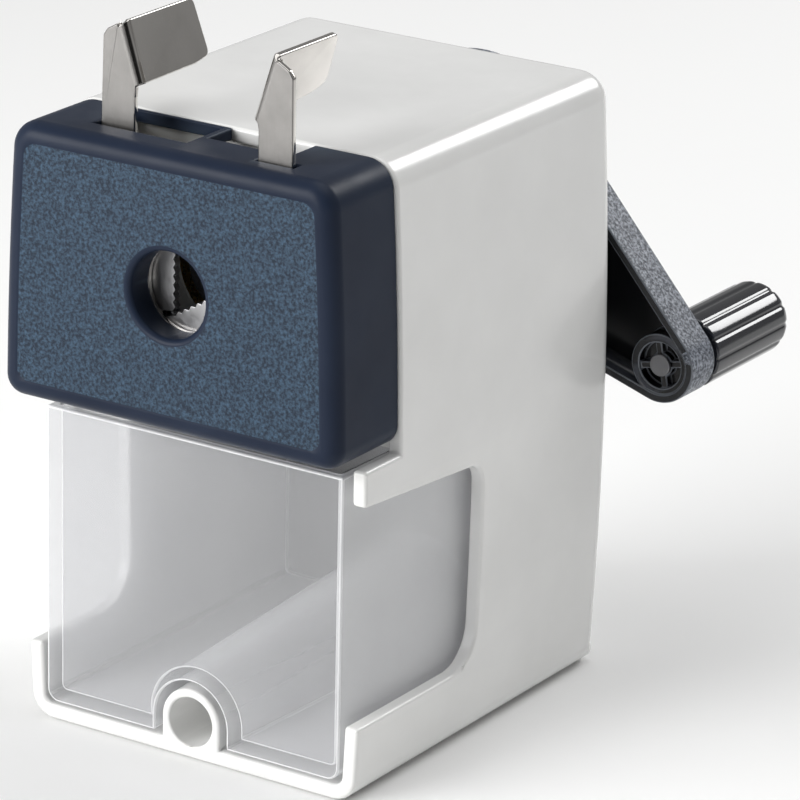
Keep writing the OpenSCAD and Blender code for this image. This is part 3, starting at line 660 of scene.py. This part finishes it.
def faceplate():
    z0, z1 = plate_low[2], plate_high[2]
    y0, y1 = plate_low[1], plate_high[1]
    wall, edge_r, sink = 2.4, 3.2, 0.12
    o = Outline(z0, z1, 0.7, 4.0, 5.5)
    y_edge = y0 + edge_r
    bm = bmesh.new()
    draw_flat(bm, o, [(0.0, y_edge), (o.length, y_edge), (o.length, y1), (0.0, y1)])
    front, _ = fold_round(bm, o, y_edge)
    rows = [front]
    for a in quarter(8)[1:]:
        rows.append(add_loop(bm, o.ring(y0 + edge_r * (1 - sin(a)), edge_r * (1 - cos(a)))))
    panel = Outline(z0 + 3.6, z1 - 3.6, 4.3, 2.4, 2.8)
    rows.append(add_loop(bm, panel.ring(y0)))
    sunk_panel = Outline(z0 + 3.75, z1 - 3.75, 4.45, 2.3, 2.7)
    rows.append(add_loop(bm, sunk_panel.ring(y0 + sink)))
    for a, b in zip(rows, rows[1:]):
        join_loops(bm, a, b)
    fill_between(bm, rows[-1], pencil_hole(bm, y0 + sink), 1)
    bmesh.ops.remove_doubles(bm, verts=bm.verts, dist=0.005)
    plate = place("faceplate", bm, [NAVY, NAVY_GRAIN], "slide", ["faceplate"])
    thicken(plate, wall)
    left_slot = (-21.55, -44.1), (-1.0, y1 - 1.2)
    notch = (0.4, y1 - 7.9), (18.4, y1 + 5)
    right_slot = (14.8, -45.6), (23.3, -43.4)
    for low, high in (left_slot, notch, right_slot):
        bm = bmesh.new()
        bmesh.ops.create_cube(bm, size=1.0)
        middle = ((low[0] + high[0]) / 2, (low[1] + high[1]) / 2, z1)
        size = (high[0] - low[0], high[1] - low[1], 12.0, 1.0)
        bm.transform(Matrix.Translation(middle) @ Matrix.Diagonal(size))
        combine(plate, place("slot", bm, [NAVY], None, None), "DIFFERENCE")
    plate.modifiers.new("triangles", "TRIANGULATE").min_vertices = 5
    settle(plate)
    soften_chosen(plate, 0.45, lambda v: v.y > y0 + 5)


# ---------- finger levers ----------

def lever(i, node):
    """A jaw disc with its finger lever: sheet folded back into a pad, i is 0 left and 1 right.

    The flat pattern runs along s, with the strip below zero and the pad behind the bend. It
    stands up along v, the leaning line of the bend.
    """
    side = 2 * i - 1
    low_x, low_z = ((12.3, 127.9), (13.7, 127.0))[i]    # foot of the bend
    lean = radians((17.8, 18.0)[i])
    high, deep = ((12.1, 21.6), (13.2, 20.9))[i]        # size of the pad
    in_x, out_x = ((13.9, 21.05), (15.3, 22.8))[i]      # sides of the strip
    corner_z = 136 - 0.2 * i
    foot_z, thick, bend = 118.0, 1.2, 1.8
    front = mm_box(node)[0][1]
    turn = bend * pi / 2

    def on_strip(x, z, r=0.0):
        dx, dz = x - low_x, z - low_z
        return bend - (dx * cos(lean) - dz * sin(lean)), dx * sin(lean) + dz * cos(lean), r

    def on_pad(y, v, r=0.0):
        return turn + y - bend, v, r

    border = filleted([
        on_strip(in_x, foot_z), on_strip(in_x, 125.4, 0.8), (0.4, 0.0, 0.5),
        on_pad(2.0, 0.1), on_pad(deep - 4.5, 0.3 + 1.4 * i, 3.0),
        on_pad(deep, 1.0 + 1.8 * i, 1.6 + 2.4 * i), on_pad(deep - 0.8, high, 1.6),
        on_pad(1.4, high), (0.0, high - 0.7, 0.8),
        on_strip(low_x + 5.3, 138.7, 0.8), on_strip(out_x - 1.0, corner_z + 1.3, 1.0),
        on_strip(out_x - 0.1, corner_z, 0.8), on_strip(out_x + 0.4 * (1 - i), foot_z)])
    sheet = bmesh.new()
    sheet.faces.new([sheet.verts.new((s, v, 0.0)) for s, v in border])
    for k in range(9):
        cut_at(sheet, turn * k / 8)
    grown = bmesh.ops.extrude_face_region(sheet, geom=sheet.faces[:], use_keep_orig=True)
    rear = {g for g in grown["geom"] if isinstance(g, bmesh.types.BMVert)}
    for v in sheet.verts:
        s, up = v.co.x, v.co.y
        d = thick if v in rear else 0.0
        if s <= 0:
            w, y = bend - s, front + d
        elif s < turn:
            w = bend - (bend - d) * sin(s / bend)
            y = front + bend - (bend - d) * cos(s / bend)
        else:
            w, y = d, front + bend + s - turn
        x = low_x + up * sin(lean) + w * cos(lean)
        v.co = Vector((side * x, y, low_z + up * cos(lean) - w * sin(lean)))
    # The strip's front faces take the darker copy of the lever metal, whose darker colour is painted
    # shade
    for f in sheet.faces:
        f.material_index = 1 if f.calc_center_median().y < front + 0.3 else 0
    folded = bpy.data.meshes.new("folded")
    sheet.to_mesh(folded)
    sheet.free()
    bm = from_cad(node)
    cut = bmesh.ops.bisect_plane(bm, geom=bm.verts[:] + bm.edges[:] + bm.faces[:], dist=TINY,
                                 plane_co=(0, 0, foot_z), plane_no=(0, 0, 1), clear_outer=True)
    rim = [e for e in cut["geom_cut"] if isinstance(e, bmesh.types.BMEdge)]
    bmesh.ops.holes_fill(bm, edges=rim)
    bm.from_mesh(folded)
    bpy.data.meshes.remove(folded)
    obj = place(node, bm, [LEVER, LEVER_PAINTED_SHADE], BODY[node], [node])
    soften(obj, 0.3, 3, 40)


# ---------- crank and knob ----------

def crank_arm():
    """The crank from its CAD node: grained outside, dark and smooth in its hollow and collar."""
    hub_y, back_y = arm_low[1], arm_high[1] - 1.4
    throw = math.hypot(KNOB_X, KNOB_Z - AXIS_Z)
    turn = math.atan2(AXIS_Z - KNOB_Z, KNOB_X)
    big, small, rim_t, boss = 22.5, 7.4, 1.6, 6.3
    stations = [k / 20 for k in range(21)]

    def past_outline(x, z):
        """How far a point is outside the arm's tapered outline."""
        u = x * cos(turn) - (z - AXIS_Z) * sin(turn)
        v = x * sin(turn) + (z - AXIS_Z) * cos(turn)
        return min(math.hypot(u - throw * t, v) - big - (small - big) * t for t in stations)

    def off_cusp(p):
        """True away from the thin corners where the knob's boss runs into the rim."""
        from_knob = math.hypot(p.x - KNOB_X, p.z - KNOB_Z)
        return abs(from_knob - boss) > 0.4 or abs(past_outline(p.x, p.z) + rim_t) > 0.3

    bm = from_cad("crank_arm")
    for f in bm.faces:
        p = f.calc_center_median()
        hollow = past_outline(p.x, p.z) < -1.0 and p.y < back_y - 0.1
        collar = p.y > back_y + 0.1 or p.y < hub_y + 1.0
        f.material_index = 1 if hollow or collar else 0
    materials = [CRANK, CRANK_GLOSS, CRANK_EDGE]
    obj = place("crank_arm", bm, materials, "crank", ["crank_arm"])
    soften_chosen(obj, 0.25, off_cusp)
    obj.modifiers["edges"].material = 2


def knob():
    """The fluted knob with its rounded outer end."""
    y0, y1 = knob_low[1], knob_high[1]
    r = (knob_high[0] - knob_low[0]) / 2
    count, flutes, flute_half, flute_depth = 144, 12, 0.8, 0.32
    inner_r, start_y, round_r = 2.0, y0 + 0.5, 3.6
    y_round = y1 - round_r

    def ring(radius, y, depth):
        points = []
        for i in range(count):
            a = 2 * pi * i / count
            near = abs(((a / (2 * pi) * flutes + 0.5) % 1.0) - 0.5) * 2 * pi / flutes * radius
            groove = depth * (0.5 + 0.5 * cos(pi * near / flute_half)) if near < flute_half else 0.0
            reach = radius - groove
            points.append((KNOB_X + reach * cos(a), y, KNOB_Z + reach * sin(a)))
        return points

    loops = [ring(inner_r, y0, 0.0), ring(r - 0.5, y0, 0.2), ring(r - 0.15, y0 + 0.15, 0.3)]
    loops += [ring(r, start_y + (y_round - start_y) * i / 6, flute_depth) for i in range(7)]
    for a in quarter(10)[1:]:
        depth = flute_depth * max(0.0, cos(a)) ** 0.5
        loops.append(ring(r - round_r * (1 - cos(a)), y_round + round_r * sin(a), depth))
    bm = bmesh.new()
    loft(bm, loops)
    even_normals(place("knob", bm, [KNOB], "grip", ["knob"]))


# ---------- pieces drawn from their CAD nodes, with their edges rounded ----------

def refined(node, material, width, segments=2):
    obj = place(node, from_cad(node), [material], BODY[node], [node])
    soften(obj, width, segments, 35)
    return obj


def coil(name, start, direction, mean_r, wire_r, length):
    """A round-wire coil with closed ends that runs from its start along X or Y."""
    turns, sides = 12, 10
    steps, closed = turns * 28, 1.0 / turns
    rows = []
    for i in range(steps + 1):
        t = i / steps
        a = 2 * pi * turns * t
        lift = max(0.0, min(1.0, (t - closed) / (1 - 2 * closed)))
        along = wire_r + wire_r * 2 * (min(t, closed) + max(0.0, t - 1 + closed)) / closed
        along += (length - 6 * wire_r) * lift
        points = []
        for k in range(sides):
            b = 2 * pi * k / sides
            q = mean_r + wire_r * cos(b)
            p = Vector((q * cos(a), along + wire_r * sin(b), q * sin(a)))
            if direction == "x":
                p = Vector((p.y, -p.x, p.z))
            points.append(tuple(Vector(start) + p))
        rows.append(points)
    bm = bmesh.new()
    loft(bm, rows)
    return place(name, bm, [SPRING], None, [name])


housing()
faceplate()
crank_arm()
knob()
lever(0, "jaw_ring")
lever(1, "jaw_plate")
box = refined("drawer", CLEAR, 0.45, 3)
# Its rounded edges take the whiter copy of the clear plastic, a painted highlight
box.data.materials.append(CLEAR_PAINTED_HIGHLIGHT)
box.modifiers["edges"].material = 1
for node_name, material, width in (
        ("chuck_cover", SHEET, 0.2),
        ("jaw_left", JAW, 0.12), ("jaw_upper", JAW, 0.12), ("jaw_lower", JAW, 0.12),
        ("jaw_pins", PIN, 0.15), ("chuck_spacers", PIN, 0.1), ("chuck_screws", SCREW, 0.2),
        ("bulkhead", INNER, 0.4), ("bulkhead_screws", SCREW, 0.2), ("front_bush", BRASS, 0.25),
        ("rear_bush", BRASS, 0.25), ("ring_gear", GEAR, 0.12), ("guide_rod_left", PIN, 0.3),
        ("guide_rod_right", PIN, 0.3), ("rod_clips", CLIP, 0.12), ("cutter_carrier", CAST, 0.4),
        ("cutter_axle", PIN, 0.2), ("cutter_pinion", GEAR, 0.1), ("drive_shaft", PIN, 0.3),
        ("crank_screw", SCREW, 0.25), ("knob_pin", CLIP, 0.2), ("knob_washer", CLIP, 0.1)):
    refined(node_name, material, width)
drum = frame["nodes"]["cutter_drum"]
drum.data.materials.clear()
drum.data.materials.append(CUTTER)

rod_low, rod_high = mm_box("guide_rod_right")
rod_x = (rod_low[0] + rod_high[0]) / 2
for side, name in ((-1, "slide_spring_left"), (1, "slide_spring_right")):
    low, high = mm_box(name)
    length = high[1] - low[1]
    spring = coil(name, (side * rod_x, low[1], AXIS_Z), "y", 2.8, 0.45, length)
    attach(spring, "frame")
    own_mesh(spring)
low, high = mm_box("ring_spring")
start = (low[0], (low[1] + high[1]) / 2, (low[2] + high[2]) / 2)
spring = coil("ring_spring", start, "x", 1.3, 0.3, high[0] - low[0])
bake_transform(spring)


# ---------- floor, light and camera ----------

def floor():
    bm = bmesh.new()
    bmesh.ops.create_grid(bm, x_segments=8, y_segments=8, size=4.0)
    mesh = bpy.data.meshes.new("floor")
    bm.to_mesh(mesh)
    bm.free()
    m, tree, shader, where = new_material("floor")
    colour = blend_colours(tree, noise(tree, where, 3.0), (0.93, 0.93, 0.925), (0.95, 0.95, 0.945))
    tree.links.new(colour, shader.inputs["Base Color"])
    shader.inputs["Roughness"].default_value = 1.0
    shader.inputs["Specular IOR Level"].default_value = 0.0
    mesh.materials.append(m)
    obj = bpy.data.objects.new("floor", mesh)
    obj.location = (0, 0, -0.0002)
    bpy.context.scene.collection.objects.link(obj)


def softbox(name, stand, target, size, power):
    data = bpy.data.lights.new(name, "AREA")
    data.shape = "RECTANGLE"
    data.size, data.size_y = size
    data.energy = power
    obj = bpy.data.objects.new(name, data)
    obj.location = stand
    obj.rotation_mode = "QUATERNION"
    obj.rotation_quaternion = (Vector(target) - Vector(stand)).to_track_quat("-Z", "Y")
    bpy.context.scene.collection.objects.link(obj)


floor()
softbox("key", (-0.6, -1.05, 0.47), (0, 0, 0.07), (0.9, 0.7), 17.0)
softbox("top", (0.1, 0.1, 1.15), (0, 0, 0.08), (1.1, 0.8), 4.6)
softbox("rim", (0.32, 1.05, 0.75), (0.03, 0.05, 0.07), (0.42, 0.42), 5.0)

# An even white surround that falls off to dark in one direction, for the reflections in gloss
world = bpy.data.worlds.new("studio")
world.use_nodes = True
sky = world.node_tree
toward = node_at(sky, "ShaderNodeTexCoord", -800, 0)
facing = node_at(sky, "ShaderNodeVectorMath", -600, 0, operation="DOT_PRODUCT")
facing.inputs[1].default_value = (0.51, -0.79, 0.33)
sky.links.new(toward.outputs["Generated"], facing.inputs[0])
surround = sky.nodes["Background"]
surround.inputs[0].default_value = (1.0, 1.0, 1.0, 1.0)
sky.links.new(spread(sky, facing.outputs["Value"], 0.70, 0.86, 0.34, 0.02), surround.inputs[1])
bpy.context.scene.world = world
bpy.context.scene.view_settings.view_transform = "Standard"

cam_data = bpy.data.cameras.new("camera")
cam_data.sensor_width = 36.0
cam_data.lens = 228.21
cam_data.shift_x = 0.0077
cam_data.shift_y = -0.0056
cam_data.clip_start, cam_data.clip_end = 0.05, 20.0
camera = bpy.data.objects.new("camera", cam_data)
az, el, roll = radians(32.985), radians(19.479), radians(1.197)
back = Vector((sin(az) * cos(el), -cos(az) * cos(el), sin(el)))
level = Vector((cos(az), sin(az), 0.0))
lift = back.cross(level)
right = level * cos(roll) + lift * sin(roll)
up = lift * cos(roll) - level * sin(roll)
stand = Vector((0.5037, -0.7518, 0.3799))
camera.matrix_world = Matrix.Translation(stand) @ Matrix((right, up, back)).transposed().to_4x4()
bpy.context.scene.collection.objects.link(camera)
bpy.context.scene.camera = camera

bpy.context.view_layer.update()
